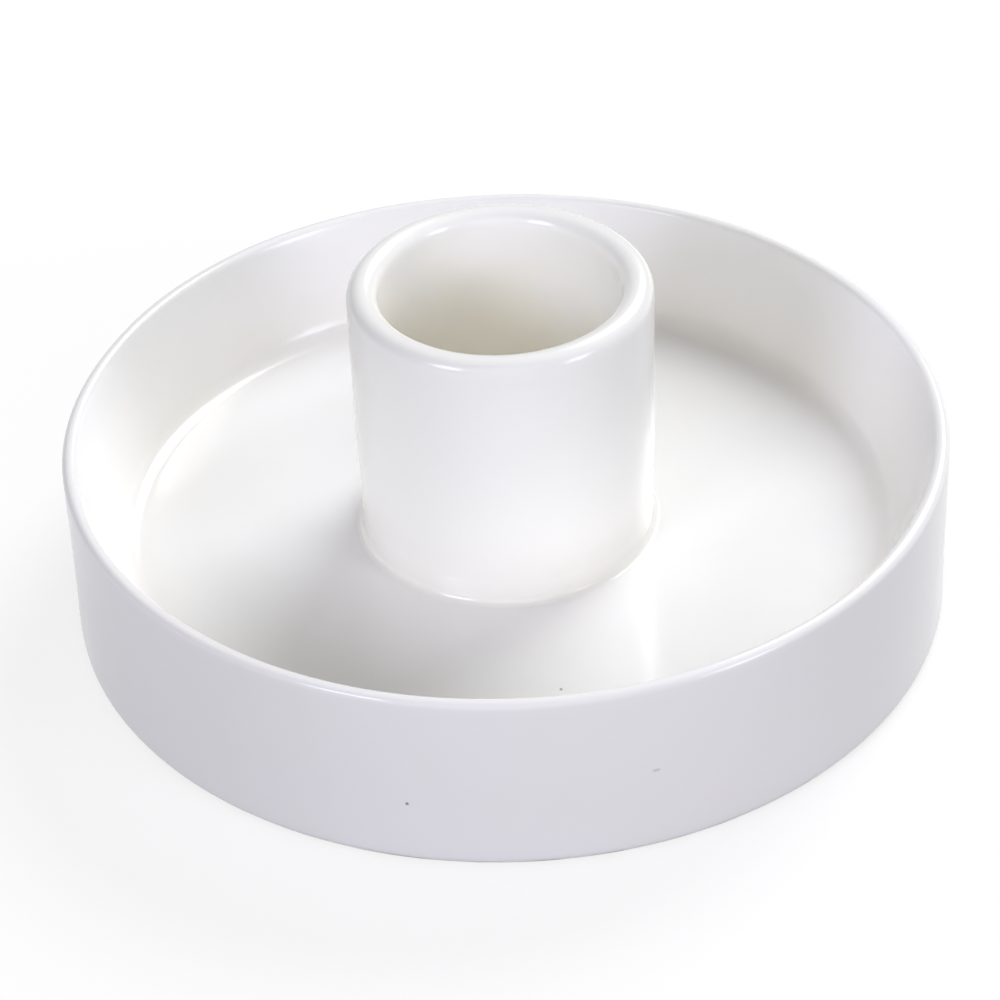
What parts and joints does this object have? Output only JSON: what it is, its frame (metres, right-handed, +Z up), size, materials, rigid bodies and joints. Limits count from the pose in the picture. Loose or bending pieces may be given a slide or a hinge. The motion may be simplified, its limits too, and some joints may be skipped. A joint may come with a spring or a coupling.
{
  "type": "candle plate",
  "caption": "Shallow round dish with an upright wall and, on the middle of its floor, a hollow cup that holds a candle upright above a drip tray.",
  "frame": {"origin": "centre of the plane that the foot ring rests on", "axes": "+Z up the axis of the candle cup; +X to the right and +Y to the back as pictured"},
  "size_m": [0.093, 0.093, 0.038],
  "materials": {
    "dish_glaze": "glossy white glaze, bare fired clay on the foot ring",
    "cup_glaze": "glossy white glaze, slightly cream where it is thick",
    "slip_glaze": "glossy white glaze pooled over the slip bead, slightly cream"
  },
  "bodies": {
    "root": {"dish": "dish_glaze", "candle_cup": "cup_glaze", "slip_joint": "slip_glaze"}
  },
  "joints": []
}
